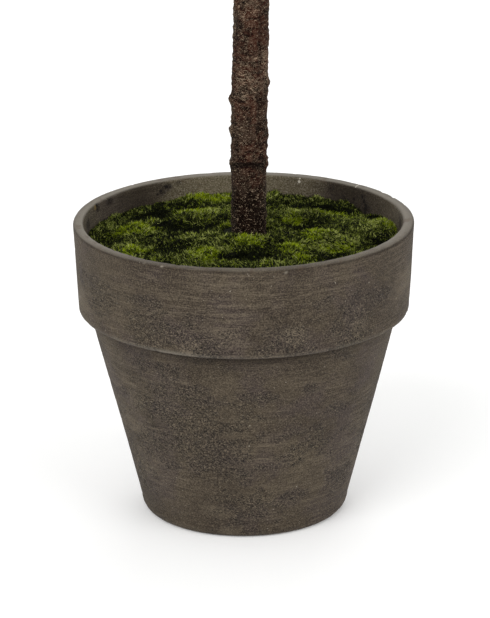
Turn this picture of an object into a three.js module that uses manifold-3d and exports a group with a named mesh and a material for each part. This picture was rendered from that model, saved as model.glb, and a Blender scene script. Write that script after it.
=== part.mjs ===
// A standard ("lollipop") topiary: one clear stem in a clay pot, with a clipped ball of small
// leaves on top and a mat of moss over the filled pot. Millimetres, +Z up, the origin at the
// middle of the pot's flat underside.
import * as THREE from "three";
import { mergeVertices } from "three/addons/utils/BufferGeometryUtils.js";
import Module from "manifold-3d";

const wasm = await Module();
wasm.setup();

// Driving dimensions
const totalHeight = 1000;
const potHeight = 195;
const potRadius = 110;
const crownRadius = 200;
const trunkFootRadius = 11.8;
const trunkTipRadius = 9.6;
const clearance = 0.3;

// Pot: a tapering body under a deep rim band
const bandHeight = 59;
const bandFootRadius = 107.1;
const bandCornerRadius = 1.9;
const neckRadius = 99.9;
const footRadius = 68.3;
const footHeight = 8.8;
const undersideRadius = 62.6;
const lipWidth = 7.2;
const lipCornerRadius = 2.4;
const wallThickness = 9;
const floorThickness = 12;
const innerShoulderDrop = 12;
const innerDraft = 2;
const potSides = 36;
const cornerSteps = 3;
const footSteps = 4;
const bandFootZ = potHeight - bandHeight;
const bandInnerRadius = potRadius - lipWidth - innerDraft;
const innerShoulderZ = bandFootZ - innerShoulderDrop;
const innerShoulderRadius = neckRadius - wallThickness - innerDraft;
const innerFloorRadius = footRadius - wallThickness;

// Filling and moss: the ground level is the flat top of the filling
const groundZ = 168;
const fillSides = 32;
const mossRadius = 101.1;
const mossAtWallZ = 181;
const mossAtTrunkZ = 186;
const mossRise = 0.8;
const mossRipple = 0.7;
const mossRings = 11;
const mossSides = 44;
const mossRingSpread = 0.85;

// Trunk: upright, a little to the right of the pot's middle
const trunkX = 3.6;
const trunkFootZ = groundZ + clearance;
const crownZ = totalHeight - crownRadius;
const trunkTipDrop = 40;
const trunkTipZ = crownZ - trunkTipDrop;
const trunkBowX = 3;
const trunkBowPower = 3;
const trunkBowY = 2.2;
const trunkSides = 12;
const trunkStep = 16;
const barkRelief = 0.45;
const smoothFootHeight = 20;
const knobHalfHeight = 9;
const knobSharpness = 6;

// Crown: a clipped ball of sprigs that stand out of a smaller core
const coreRadius = 178;
const coreDetail = 4;
const coreRelief = 3.5;
const sprigCount = 76;
const sprigTipDepth = 9;
const sprigLean = 0.22;
const stemFootRadius = 2.6;
const stemTipRadius = 1.5;
const stemSunk = 9;
const leafLength = 54;
const leafWidth = 34;
const leafThickness = 1.7;
const leafWidestAt = 0.48;
const leafCup = 3.2;
const leafPairs = 3;
const lowestPairAt = 0.5;
const topPairAt = 0.97;
const topPairSize = 0.66;
const sizeSpread = 0.16;
const turnSpread = 0.5;
const leafTwist = 0.5;
const clipDepth = 9;
const clearOfTrunk = 4;
const crownBottomZ = crownZ - coreRadius;
const socketSides = 24;
const socketSlack = 0.2;
const smallestEdge = 0.02;
const seed = 14;

const up = new THREE.Vector3(0, 0, 1);
const right = new THREE.Vector3(1, 0, 0);
const goldenAngle = Math.PI * (3 - Math.sqrt(5));
const { lerp, clamp, degToRad } = THREE.MathUtils;

// A repeatable stream of numbers from 0 to 1, by a linear congruential rule.
function seededRandom(start) {
  const range = 2 ** 32;
  const multiplier = 1664525;
  const increment = 1013904223;
  let state = start;
  return () => {
    state = (Math.imul(state, multiplier) + increment) >>> 0;
    return state / range;
  };
}

function material(colour, roughness) {
  return new THREE.MeshStandardMaterial({ color: colour, roughness, metalness: 0 });
}

function named(name, geometry, look) {
  const mesh = new THREE.Mesh(geometry, look);
  mesh.name = name;
  return mesh;
}

// A geometry's faces with shared corners, as a solid for joining and cutting.
function solidFrom(geometry) {
  const bare = geometry.index ? geometry.toNonIndexed() : geometry.clone();
  bare.deleteAttribute("normal");
  bare.deleteAttribute("uv");
  const merged = mergeVertices(bare, 1e-4);
  return new wasm.Manifold(
    new wasm.Mesh({
      numProp: 3,
      vertProperties: merged.attributes.position.array,
      triVerts: new Uint32Array(merged.index.array),
    }),
  );
}

function geometryFrom(solid) {
  const mesh = solid.getMesh();
  const geometry = new THREE.BufferGeometry();
  geometry.setAttribute("position", new THREE.BufferAttribute(mesh.vertProperties, 3));
  geometry.setIndex(new THREE.BufferAttribute(mesh.triVerts, 1));
  geometry.computeVertexNormals();
  return geometry;
}

// A closed geometry from corners and triangles.
function geometryOf(corners, triangles) {
  const geometry = new THREE.BufferGeometry();
  const flat = corners.flatMap((c) => [c.x, c.y, c.z]);
  geometry.setAttribute("position", new THREE.Float32BufferAttribute(flat, 3));
  geometry.setIndex(triangles.flat());
  geometry.computeVertexNormals();
  return geometry;
}

// Turns a profile of (radius, height) points about the Z axis.
function turned(profile, sides) {
  return new THREE.LatheGeometry(profile, sides).rotateX(Math.PI / 2);
}

// Points on a quarter round from the angle start, in radians, about a centre in the profile.
function corner(radius, z, cornerRadius, start) {
  return Array.from({ length: cornerSteps + 1 }, (_, i) => {
    const angle = start + (i / cornerSteps) * (Math.PI / 2);
    return new THREE.Vector2(
      radius + cornerRadius * Math.cos(angle),
      z + cornerRadius * Math.sin(angle),
    );
  });
}

// The pot's inner wall, from the floor up to the foot of the rim band.
const innerWall = [
  new THREE.Vector2(innerFloorRadius, floorThickness),
  new THREE.Vector2(innerShoulderRadius, innerShoulderZ),
  new THREE.Vector2(bandInnerRadius, bandFootZ),
];

function potGeometry() {
  const foot = Array.from({ length: footSteps + 1 }, (_, i) => {
    const angle = (i / footSteps) * (Math.PI / 2);
    return new THREE.Vector2(
      undersideRadius + (footRadius - undersideRadius) * Math.sin(angle),
      footHeight * (1 - Math.cos(angle)),
    );
  });
  const bandCorner = corner(
    bandFootRadius - bandCornerRadius,
    bandFootZ + bandCornerRadius,
    bandCornerRadius,
    -Math.PI / 2,
  );
  const lipOut = potRadius - lipCornerRadius;
  const lipIn = potRadius - lipWidth + lipCornerRadius;
  const lipZ = potHeight - lipCornerRadius;
  const profile = [
    new THREE.Vector2(0, 0),
    ...foot,
    new THREE.Vector2(neckRadius, bandFootZ),
    ...bandCorner,
    ...corner(lipOut, lipZ, lipCornerRadius, 0),
    ...corner(lipIn, lipZ, lipCornerRadius, Math.PI / 2),
    ...innerWall.toReversed(),
    new THREE.Vector2(0, floorThickness),
  ];
  const quarterSide = Math.PI / (2 * potSides);
  return turned(profile, potSides).rotateZ(quarterSide);
}

function fillGeometry() {
  const flatOfPot = Math.cos(Math.PI / potSides);
  const rise = (groundZ - bandFootZ) / (potHeight - bandFootZ);
  const topRadius = lerp(bandInnerRadius, potRadius - lipWidth, rise);
  const wall = [...innerWall, new THREE.Vector2(topRadius, groundZ)];
  const [foot, ...above] = wall.map((p) => new THREE.Vector2(p.x * flatOfPot - clearance, p.y));
  foot.y += clearance;
  const profile = [
    new THREE.Vector2(0, foot.y),
    foot,
    ...above,
    new THREE.Vector2(0, groundZ),
  ];
  return turned(profile, fillSides);
}

// The moss lies highest at the trunk and is crumpled into folds: each fold is a ridge with a
// middle (x, y), a heading in degrees, half its length, half its width and a height.
const mossFolds = [
  { x: -34, y: 29, heading: 16, long: 20, wide: 11, high: -5.4 },
  { x: -49, y: -15, heading: 6, long: 13, wide: 10, high: -5.0 },
  { x: 37, y: 25, heading: -14, long: 14, wide: 10, high: -5.2 },
  { x: 58, y: -25, heading: -10, long: 13, wide: 11, high: -5.2 },
  { x: 88, y: -1, heading: 60, long: 13, wide: 9, high: -5.0 },
  { x: -86, y: 3, heading: 80, long: 9, wide: 7, high: -4.2 },
  { x: 17, y: -20, heading: -10, long: 12, wide: 10, high: -4.4 },
  { x: -14, y: -34, heading: 0, long: 8, wide: 8, high: -3.2 },
  { x: 42, y: -37, heading: 0, long: 8, wide: 7, high: -2.6 },
  { x: -32, y: 3, heading: 8, long: 12, wide: 6, high: -2.0 },
  { x: -27, y: 70, heading: 4, long: 22, wide: 9, high: -2.2 },
  { x: 31, y: 75, heading: 0, long: 18, wide: 10, high: -1.6 },
  { x: 82, y: 59, heading: 50, long: 8, wide: 6, high: -5.0 },
  { x: -66, y: 55, heading: 40, long: 10, wide: 8, high: -1.6 },
  { x: 28, y: -3, heading: 0, long: 8, wide: 7, high: -1.8 },
  { x: -10, y: -76, heading: -4, long: 26, wide: 7, high: -2.6 },
  { x: -62, y: -54, heading: 38, long: 14, wide: 7, high: -2.8 },
  { x: -33, y: 94, heading: -18, long: 16, wide: 8, high: 2.6 },
  { x: 24, y: 97, heading: 0, long: 12, wide: 7, high: 1.2 },
  { x: 61, y: 78, heading: -45, long: 20, wide: 10, high: 2.4 },
  { x: -30, y: 46, heading: 2, long: 24, wide: 6, high: 3.2 },
  { x: -69, y: 16, heading: 70, long: 18, wide: 8, high: 2.6 },
  { x: -78, y: -24, heading: -30, long: 12, wide: 6, high: 2.2 },
  { x: 5, y: -13, heading: 0, long: 14, wide: 6, high: 2.2 },
  { x: -24, y: -44, heading: 56, long: 16, wide: 6, high: 2.8 },
  { x: 30, y: -29, heading: -36, long: 9, wide: 5, high: 2.6 },
  { x: 56, y: -8, heading: -22, long: 18, wide: 6, high: 3.6 },
  { x: 91, y: 20, heading: 70, long: 10, wide: 8, high: 4.0 },
  { x: 22, y: 15, heading: -62, long: 15, wide: 4, high: 2.6 },
  { x: 36, y: 45, heading: -4, long: 14, wide: 6, high: 2.8 },
  { x: 68, y: 26, heading: -20, long: 15, wide: 8, high: 2.4 },
  { x: -32, y: -8, heading: 12, long: 17, wide: 5, high: 2.4 },
  { x: 66, y: -16, heading: -32, long: 9, wide: 4, high: 2.2 },
  { x: -46, y: -40, heading: 24, long: 18, wide: 6, high: 2.4 },
  { x: 20, y: -64, heading: -6, long: 30, wide: 8, high: 2.4 },
];

function mossHeight(x, y) {
  const fromTrunk = Math.hypot(x - trunkX, y) - trunkFootRadius;
  const share = clamp(fromTrunk / (mossRadius - trunkFootRadius), 0, 1);
  let z = lerp(mossAtTrunkZ, mossAtWallZ, share ** mossRise);
  for (const fold of mossFolds) {
    const heading = degToRad(fold.heading);
    const along = (x - fold.x) * Math.cos(heading) + (y - fold.y) * Math.sin(heading);
    const across = (y - fold.y) * Math.cos(heading) - (x - fold.x) * Math.sin(heading);
    z += fold.high * Math.exp(-((along / fold.long) ** 2) - (across / fold.wide) ** 2);
  }
  return z + mossRipple * Math.sin(x * 0.21 + 1.3) * Math.sin(y * 0.26 + 0.4);
}

// The mat is a ring round the trunk: crumpled on top, flat where it lies on the filling.
function mossGeometry() {
  const corners = [];
  const triangles = [];
  const holeRadius = trunkFootRadius + barkRelief + clearance;
  const undersideZ = groundZ + clearance;
  for (let ring = 0; ring <= mossRings; ring += 1) {
    for (let side = 0; side < mossSides; side += 1) {
      const angle = (side / mossSides) * 2 * Math.PI;
      const share = (ring / mossRings) ** mossRingSpread;
      const radius = lerp(holeRadius, mossRadius, share);
      const x = lerp(trunkX, 0, share) + radius * Math.cos(angle);
      const y = radius * Math.sin(angle);
      corners.push(new THREE.Vector3(x, y, mossHeight(x, y)));
    }
  }
  const topCount = corners.length;
  for (const ring of [0, mossRings]) {
    for (let side = 0; side < mossSides; side += 1) {
      const above = corners[ring * mossSides + side];
      corners.push(new THREE.Vector3(above.x, above.y, undersideZ));
    }
  }
  const quad = (a, b, c, d) => triangles.push([a, b, c], [a, c, d]);
  for (let side = 0; side < mossSides; side += 1) {
    const next = (side + 1) % mossSides;
    for (let ring = 0; ring < mossRings; ring += 1) {
      const here = ring * mossSides;
      quad(here + side, here + mossSides + side, here + mossSides + next, here + next);
    }
    const rim = mossRings * mossSides;
    const innerFoot = topCount;
    const outerFoot = topCount + mossSides;
    quad(rim + side, outerFoot + side, outerFoot + next, rim + next);
    quad(outerFoot + side, innerFoot + side, innerFoot + next, outerFoot + next);
    quad(innerFoot + side, side, next, innerFoot + next);
  }
  return geometryOf(corners, triangles);
}

// Knobs left where side shoots were cut off: height above the ground, direction in degrees, size.
const trunkKnobs = [
  { rise: 26, towards: 120, high: 1.0 },
  { rise: 62, towards: 186, high: 1.1 },
  { rise: 64, towards: 4, high: 1.2 },
  { rise: 86, towards: 182, high: 1.3 },
  { rise: 82, towards: 0, high: 1.1 },
  { rise: 106, towards: 184, high: 1.7 },
  { rise: 117, towards: -4, high: 1.4 },
  { rise: 172, towards: 70, high: 1.6 },
  { rise: 214, towards: 250, high: 1.7 },
  { rise: 262, towards: 150, high: 1.6 },
  { rise: 316, towards: 20, high: 1.8 },
  { rise: 368, towards: 280, high: 1.5 },
];

// The clear stem bows a little to the right and is straight at its foot and in the crown.
function trunkCentre(z) {
  const share = clamp((z - trunkFootZ) / (crownBottomZ - trunkFootZ), 0, 1);
  const fade = Math.sin(share * Math.PI);
  return new THREE.Vector2(
    trunkX + trunkBowX * fade ** trunkBowPower,
    trunkBowY * fade * Math.sin(2 * share * Math.PI),
  );
}

function taperedRadius(z) {
  return lerp(trunkFootRadius, trunkTipRadius, (z - trunkFootZ) / (trunkTipZ - trunkFootZ));
}

function trunkRadius(z, angle) {
  let radius = taperedRadius(z);
  const isPlain = z < groundZ + smoothFootHeight || z > crownBottomZ - trunkStep;
  if (isPlain) return radius;
  radius += barkRelief * Math.sin(z * 0.31 + 2 * Math.sin(angle)) * Math.cos(2 * angle + z * 0.07);
  for (const knob of trunkKnobs) {
    const facing = Math.max(0, Math.cos(angle - degToRad(knob.towards)));
    const off = (z - groundZ - knob.rise) / knobHalfHeight;
    radius += knob.high * facing ** knobSharpness * Math.exp(-(off ** 2));
  }
  return radius;
}

function trunkGeometry() {
  const corners = [];
  const triangles = [];
  const rings = Math.round((trunkTipZ - trunkFootZ) / trunkStep);
  for (let ring = 0; ring <= rings; ring += 1) {
    const z = lerp(trunkFootZ, trunkTipZ, ring / rings);
    const centre = trunkCentre(z);
    for (let side = 0; side < trunkSides; side += 1) {
      const angle = (side / trunkSides) * 2 * Math.PI;
      const radius = trunkRadius(z, angle);
      const x = centre.x + radius * Math.cos(angle);
      const y = centre.y + radius * Math.sin(angle);
      corners.push(new THREE.Vector3(x, y, z));
    }
  }
  for (let ring = 0; ring < rings; ring += 1) {
    for (let side = 0; side < trunkSides; side += 1) {
      const next = (side + 1) % trunkSides;
      const low = ring * trunkSides;
      const high = low + trunkSides;
      triangles.push([low + side, low + next, high + next], [low + side, high + next, high + side]);
    }
  }
  const lastRing = rings * trunkSides;
  for (let side = 1; side < trunkSides - 1; side += 1) {
    triangles.push([0, side + 1, side], [lastRing, lastRing + side, lastRing + side + 1]);
  }
  return geometryOf(corners, triangles);
}

// One leaf along +Y from its foot at the origin, its face towards +Z: eight faces, a fold down
// the middle and its edges a little raised.
function leafGeometry(length, width) {
  const middle = length * leafWidestAt;
  const half = leafThickness / 2;
  const corners = [
    new THREE.Vector3(0, 0, 0),
    new THREE.Vector3(-width / 2, middle, leafCup),
    new THREE.Vector3(width / 2, middle, leafCup),
    new THREE.Vector3(0, length, leafCup / 2),
    new THREE.Vector3(0, middle, half),
    new THREE.Vector3(0, middle, -half),
  ];
  const triangles = [
    [0, 4, 1],
    [0, 2, 4],
    [3, 1, 4],
    [3, 4, 2],
    [0, 1, 5],
    [0, 5, 2],
    [3, 5, 1],
    [3, 2, 5],
  ];
  return geometryOf(corners, triangles);
}

// A three-sided tapering stem from one point to another.
function stemGeometry(from, to) {
  const length = from.distanceTo(to);
  const stem = new THREE.CylinderGeometry(stemTipRadius, stemFootRadius, length, 3);
  stem.translate(0, length / 2, 0);
  const turn = new THREE.Quaternion().setFromUnitVectors(
    new THREE.Vector3(0, 1, 0),
    to.clone().sub(from).normalize(),
  );
  return stem.applyQuaternion(turn).translate(from.x, from.y, from.z);
}

// Puts a leaf at a foot, pointing along a heading, its face turned a little from the outside.
function leafAt(foot, heading, outside, twist, size) {
  const y = heading.clone().normalize();
  const x = new THREE.Vector3().crossVectors(y, outside).normalize().applyAxisAngle(y, twist);
  const z = new THREE.Vector3().crossVectors(x, y);
  const place = new THREE.Matrix4().makeBasis(x, y, z).setPosition(foot);
  return leafGeometry(leafLength * size, leafWidth * size).applyMatrix4(place);
}

function clearsTrunkAndReach(geometry, centre) {
  const position = geometry.attributes.position;
  const point = new THREE.Vector3();
  for (let i = 0; i < position.count; i += 1) {
    point.fromBufferAttribute(position, i);
    const isOutside = point.distanceTo(centre) > crownRadius;
    const fromTrunk = Math.hypot(point.x - centre.x, point.y - centre.y) - trunkFootRadius;
    const isByTrunk = point.z < crownZ && fromTrunk < clearOfTrunk;
    if (isOutside || isByTrunk) return false;
  }
  return true;
}

// The angle at which a leaf opens from its stem so that its tip ends at a given distance from
// the crown's centre, as the shears left it.
function clippedOpening(footDistance, length, tipDistance) {
  const cosine =
    (tipDistance ** 2 - footDistance ** 2 - length ** 2) / (2 * footDistance * length);
  return Math.acos(clamp(cosine, -0.2, 0.85));
}

// One sprig: a stem out of the core, with pairs of leaves that turn a quarter at each step.
function sprigSolids(way, centre, random) {
  const either = () => random() - 0.5;
  const lean = new THREE.Vector3(either(), either(), either());
  const stemWay = way.clone().addScaledVector(lean, 2 * sprigLean).normalize();
  const foot = centre.clone().addScaledVector(way, coreRadius - stemSunk);
  const reach = crownRadius - sprigTipDepth - coreRadius + stemSunk;
  const tip = foot.clone().addScaledVector(stemWay, reach * (0.86 + 0.14 * random()));
  const stem = stemGeometry(foot, tip);
  if (!clearsTrunkAndReach(stem, centre)) return [];
  const solids = [solidFrom(stem)];
  const level = Math.abs(stemWay.z) < 0.9 ? up : right;
  const side = new THREE.Vector3().crossVectors(stemWay, level).normalize();
  side.applyAxisAngle(stemWay, random() * Math.PI);
  for (let pair = 0; pair < leafPairs; pair += 1) {
    const share = pair / (leafPairs - 1);
    const at = foot.clone().lerp(tip, lerp(lowestPairAt, topPairAt, share));
    for (const half of [0, Math.PI]) {
      const size = lerp(1, topPairSize, share) * (1 + sizeSpread * either());
      const around = pair * (Math.PI / 2) + half + turnSpread * either();
      const out = side.clone().applyAxisAngle(stemWay, around);
      const tipDistance = crownRadius - clipDepth * (0.2 + 0.8 * random());
      const open = clippedOpening(at.distanceTo(centre), leafLength * size, tipDistance);
      const heading = stemWay.clone().multiplyScalar(Math.cos(open));
      heading.addScaledVector(out, Math.sin(open));
      const leaf = leafAt(at, heading, stemWay, 2 * leafTwist * either(), size);
      if (clearsTrunkAndReach(leaf, centre)) solids.push(solidFrom(leaf));
    }
  }
  return solids;
}

function coreSolid(centre) {
  const core = new THREE.IcosahedronGeometry(coreRadius, coreDetail);
  const position = core.attributes.position;
  const point = new THREE.Vector3();
  for (let i = 0; i < position.count; i += 1) {
    point.fromBufferAttribute(position, i).normalize();
    const swell = Math.sin(point.x * 7 + 1) * Math.sin(point.y * 6 + 2) * Math.sin(point.z * 8);
    point.multiplyScalar(coreRadius + coreRelief * swell).add(centre);
    position.setXYZ(i, point.x, point.y, point.z);
  }
  return solidFrom(core);
}

// The socket in the core that the trunk's tip stands in.
function socketSolid() {
  const length = trunkTipZ + clearance - (crownZ - crownRadius);
  const radius = taperedRadius(crownBottomZ) + clearance + socketSlack;
  const socket = new THREE.CylinderGeometry(radius, radius, length, socketSides);
  socket.rotateX(Math.PI / 2);
  return solidFrom(socket.translate(trunkX, 0, trunkTipZ + clearance - length / 2));
}

function crownGeometry() {
  const random = seededRandom(seed);
  const centre = new THREE.Vector3(trunkX, 0, crownZ);
  const solids = [coreSolid(centre)];
  for (let i = 0; i < sprigCount; i += 1) {
    const z = 1 - (2 * (i + 0.5)) / sprigCount;
    const ring = Math.sqrt(1 - z * z);
    const turn = i * goldenAngle;
    const way = new THREE.Vector3(ring * Math.cos(turn), ring * Math.sin(turn), z);
    solids.push(...sprigSolids(way, centre, random));
  }
  const joined = wasm.Manifold.union(solids).subtract(socketSolid());
  const whole = joined.decompose().sort((a, b) => b.volume() - a.volume())[0];
  return geometryFrom(whole.simplify(smallestEdge));
}

const clay = material(0x544b42, 0.9);
const grit = material(0x4a443d, 1.0);
const mossGreen = material(0x4b5a1b, 1.0);
const bark = material(0x3b2a20, 0.9);
const leafGreen = material(0x3f6b24, 0.6);

const topiary = new THREE.Group();
topiary.add(
  named("pot", potGeometry(), clay),
  named("pot_filling", fillGeometry(), grit),
  named("moss", mossGeometry(), mossGreen),
  named("trunk", trunkGeometry(), bark),
  named("crown", crownGeometry(), leafGreen),
);

export default topiary;
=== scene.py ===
import math
import bmesh
import bpy
import numpy as np
from mathutils import Matrix, Vector


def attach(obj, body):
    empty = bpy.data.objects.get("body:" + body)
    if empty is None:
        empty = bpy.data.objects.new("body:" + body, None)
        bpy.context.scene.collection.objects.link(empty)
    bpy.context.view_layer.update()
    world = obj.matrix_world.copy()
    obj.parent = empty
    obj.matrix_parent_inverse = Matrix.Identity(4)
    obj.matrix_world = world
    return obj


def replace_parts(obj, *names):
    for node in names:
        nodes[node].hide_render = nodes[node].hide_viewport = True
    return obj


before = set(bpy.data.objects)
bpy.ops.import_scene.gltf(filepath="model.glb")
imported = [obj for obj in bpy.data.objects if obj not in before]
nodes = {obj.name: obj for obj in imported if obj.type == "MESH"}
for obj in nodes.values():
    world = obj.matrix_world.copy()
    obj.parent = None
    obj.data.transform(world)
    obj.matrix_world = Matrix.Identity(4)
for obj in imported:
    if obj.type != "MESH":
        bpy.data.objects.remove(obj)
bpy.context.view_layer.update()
print("frame loaded:", sorted(nodes))

mm = 0.001
turn = 2 * math.pi
goldenAngle = math.pi * (3 - math.sqrt(5))


def inMetres(**sizes):  # a piece's lengths, which are written in mm
    return {name: size * mm for name, size in sizes.items()}


def srgb(red, green, blue):  # screen values 0-255 to a linear colour
    def linear(value):
        share = value / 255
        return share / 12.92 if share <= 0.04045 else ((share + 0.055) / 1.055) ** 2.4
    return (linear(red), linear(green), linear(blue), 1)


# shader maths


class Wire:  # a socket in a material's tree that can be used in plain sums
    def __init__(self, tree, socket):
        self.tree, self.socket = tree, socket

    def add(self, kind, settings=None, inputs=None, output=0):
        node = self.tree.nodes.new("ShaderNode" + kind)
        for name, value in (settings or {}).items():
            setattr(node, name, value)
        for key, value in (inputs or {}).items():
            if isinstance(value, Wire):
                self.tree.links.new(value.socket, node.inputs[key])
            else:
                node.inputs[key].default_value = value
        return Wire(self.tree, node.outputs[output])

    def sum(self, operation, first, second):
        return self.add("Math", {"operation": operation}, {0: first, 1: second})

    def __add__(self, other):
        return self.sum("ADD", self, other)

    def __radd__(self, other):
        return self.sum("ADD", other, self)

    def __sub__(self, other):
        return self.sum("SUBTRACT", self, other)

    def __rsub__(self, other):
        return self.sum("SUBTRACT", other, self)

    def __mul__(self, other):
        return self.sum("MULTIPLY", self, other)

    def most(self, other):
        return self.sum("MAXIMUM", self, other)

    def distance(self, level):  # how far the value lies from a level
        return self.sum("ABSOLUTE", self - level, 0)

    def step(self, low, high):  # 0 below low, 1 above high, soft between
        return self.add("MapRange", {"interpolation_type": "SMOOTHSTEP"},
                        {0: self, 1: low, 2: high, 3: 0, 4: 1})

    def near(self, point, radius):  # 1 around a point, 0 outside the radius
        away = self.add("VectorMath", {"operation": "DISTANCE"}, {0: self, 1: point}, output=1)
        return away.step(radius, radius * 0.55)

    def height(self):
        return self.add("SeparateXYZ", None, {0: self}, output=2)

    def stretched(self, x, y, z):
        return self.add("VectorMath", {"operation": "MULTIPLY"}, {0: self, 1: (x, y, z)})

    def noise(self, scale, detail=2, roughness=0.5, distortion=0):
        return self.add("TexNoise", None, {"Vector": self, "Scale": scale, "Detail": detail,
                                           "Roughness": roughness, "Distortion": distortion})


def mixed(wire, first, second):  # first where the wire is 0, second where it is 1
    return wire.add("Mix", {"data_type": "RGBA"}, {0: wire, 6: first, 7: second}, output=2)


def covered(colour, colours, layers):  # each layer is laid over the ones before it, by its share
    for share, shade in layers:
        colour = mixed(share, colour, colours[shade])
    return colour


class Finish:  # one material, with its place in the object's own metres
    def __init__(self, name, **fixed):
        self.material = bpy.data.materials.new(name)
        self.material.use_nodes = True
        self.tree = self.material.node_tree
        self.shader = self.tree.nodes["Principled BSDF"]
        for socket, value in fixed.items():
            self.shader.inputs[socket.replace("_", " ")].default_value = value

    def place(self):
        return Wire(self.tree, self.tree.nodes.new("ShaderNodeTexCoord").outputs["Object"])

    def painted(self, name):  # a value kept on the mesh's points
        node = self.tree.nodes.new("ShaderNodeAttribute")
        node.attribute_name = name
        return Wire(self.tree, node.outputs["Fac"])

    def finished(self, colour, roughness, relief, depth):
        bump = relief.add("Bump", None, {"Height": relief, "Distance": depth, "Strength": 1})
        for socket, wire in (("Base Color", colour), ("Roughness", roughness), ("Normal", bump)):
            self.tree.links.new(wire.socket, self.shader.inputs[socket])
        return self.material


# mesh making


def hashed(cell, seed):  # a fixed number from -1 to 1 for each cell
    mixedBits = (cell[:, 0] * 374761393 + cell[:, 1] * 668265263
                 + cell[:, 2] * 1274126177 + seed * 1442695041) & 0xFFFFFFFF
    mixedBits = ((mixedBits ^ (mixedBits >> 13)) * 1274126177) & 0xFFFFFFFF
    mixedBits = mixedBits ^ (mixedBits >> 16)
    return (mixedBits & 0xFFFFFF) / 0x7FFFFF - 1


def smoothNoise(points, seed=0):
    cell = np.floor(points).astype(np.int64)
    part = points - cell
    part = part * part * (3 - 2 * part)
    total = np.zeros(len(points))
    for dx in (0, 1):
        for dy in (0, 1):
            for dz in (0, 1):
                corner = np.array([dx, dy, dz])
                weight = np.prod(np.where(corner == 1, part, 1 - part), axis=1)
                total += weight * hashed(cell + corner, seed)
    return total


def layered(points, layers=3, seed=0, fall=0.5):  # noise with finer layers on it
    total, size = np.zeros(len(points)), 1.0
    for layer in range(layers):
        total += size * smoothNoise(points * 2 ** layer + 17.3 * layer, seed + layer)
        size *= fall
    return total


def softStep(low, high, value):
    share = np.clip((value - low) / (high - low), 0, 1)
    return share * share * (3 - 2 * share)


def hump(value, middle, width):  # 1 at the middle, falling off on both sides
    return np.exp(-((value - middle) / width) ** 2)


def unit(vectors):
    return vectors / np.maximum(np.linalg.norm(vectors, axis=-1, keepdims=True), 1e-12)


def piece(name, points, faces, material, smooth=True, values=None):
    corners = faces.shape[1]
    mesh = bpy.data.meshes.new(name)
    mesh.vertices.add(len(points))
    mesh.vertices.foreach_set("co", np.ascontiguousarray(points, np.float32).ravel())
    mesh.loops.add(faces.size)
    mesh.loops.foreach_set("vertex_index", np.ascontiguousarray(faces, np.int32).ravel())
    mesh.polygons.add(len(faces))
    mesh.polygons.foreach_set("loop_start", np.arange(0, faces.size, corners, dtype=np.int32))
    mesh.update(calc_edges=True)
    mesh.polygons.foreach_set("use_smooth", np.full(len(faces), smooth))
    for key, value in (values or {}).items():
        mesh.attributes.new(key, "FLOAT", "POINT").data.foreach_set("value", value.astype(np.float32))
    mesh.validate()
    made = bpy.data.objects.new(name, mesh)
    bpy.context.scene.collection.objects.link(made)
    made.data.materials.append(material)
    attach(made, "root")
    print("made", name, len(faces), "faces")
    return made


def copies(name, shapes, shapeFaces, material, smooth=True):  # many small shapes in one piece
    start = np.arange(len(shapes))[:, None, None] * shapes.shape[1]
    faces = (start + np.array(shapeFaces)).reshape(-1, len(shapeFaces[0]))
    return piece(name, shapes.reshape(-1, 3), faces, material, smooth)


def ringFaces(rings, sides):  # quads between closed rings of points, one above the other
    ring, side = np.meshgrid(np.arange(rings - 1), np.arange(sides), indexing="ij")
    after = (side + 1) % sides
    low, high = ring * sides, (ring + 1) * sides
    return np.stack([low + side, low + after, high + after, high + side], -1).reshape(-1, 4)


def evenly(start, end, step):  # points of a profile from start up to, but without, end
    count = max(1, round(math.dist(start, end) / step))
    return [tuple(np.array(start) + (np.array(end) - start) * i / count) for i in range(count)]


def roundCorner(centre, radius, fromAngle, steps):  # a quarter round in the profile
    angles = [fromAngle + i / steps * turn / 4 for i in range(steps)]
    return [(centre[0] + radius * math.cos(a), centre[1] + radius * math.sin(a)) for a in angles]


# clay pot

pot = inMetres(
    height=195, radius=110, bandHeight=59, bandFootRadius=107.1, bandCorner=1.9, neckRadius=99.9,
    footRadius=68.3, footHeight=8.8, undersideRadius=62.6, lipWidth=7.2, lipCorner=2.4, wall=9,
    floor=12, draft=2, shoulderDrop=12, step=1.5, hiddenStep=6, mossLine=168, wobble=0.35,
    dents=0.28, chipDepth=0.4, rimLine=193.5, rimLineWidth=0.7, lipWear=3.4, bandFootWear=3.2,
    underBand=11, rubbedWidth=1.3, insideAbove=10, centre=0.01)
# degrees from the front, and inside the rim from the back: middle and width, then start and end
pot.update(sides=420, underFront=(4, 24), rubbed=(-27, 13), insideShadow=(43, 11),
           paleBack=(36, 25), paleSides=(60, 72))
pot["bandFoot"] = pot["height"] - pot["bandHeight"]
pot["innerRadius"] = pot["radius"] - pot["lipWidth"]

# dark worn patches of the wash: angle from the front in degrees, height and radius in mm
potStains = [
    (-42, 122, 9), (-30, 117, 13), (-21, 107, 11), (-13, 104, 8), (2, 107, 9), (7, 106, 7),
    (27, 108, 6), (-14, 66, 15), (-19, 54, 15), (-10, 60, 11), (42, 88, 8), (31, 78, 7),
    (38, 58, 7), (-36, 50, 9), (3, 18, 15), (24, 27, 11), (56, 34, 16), (38, 128, 9),
    (-35, 168, 8), (-26, 150, 12), (-14, 141, 12), (12, 146, 12), (21, 142, 8),
    (52, 163, 12), (40, 147, 9), (25, 168, 8), (-64, 170, 9), (130, 90, 16), (165, 60, 14),
    (205, 110, 15), (232, 70, 17), (260, 160, 12), (120, 165, 11), (185, 155, 13), (285, 40, 14),
]


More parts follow.
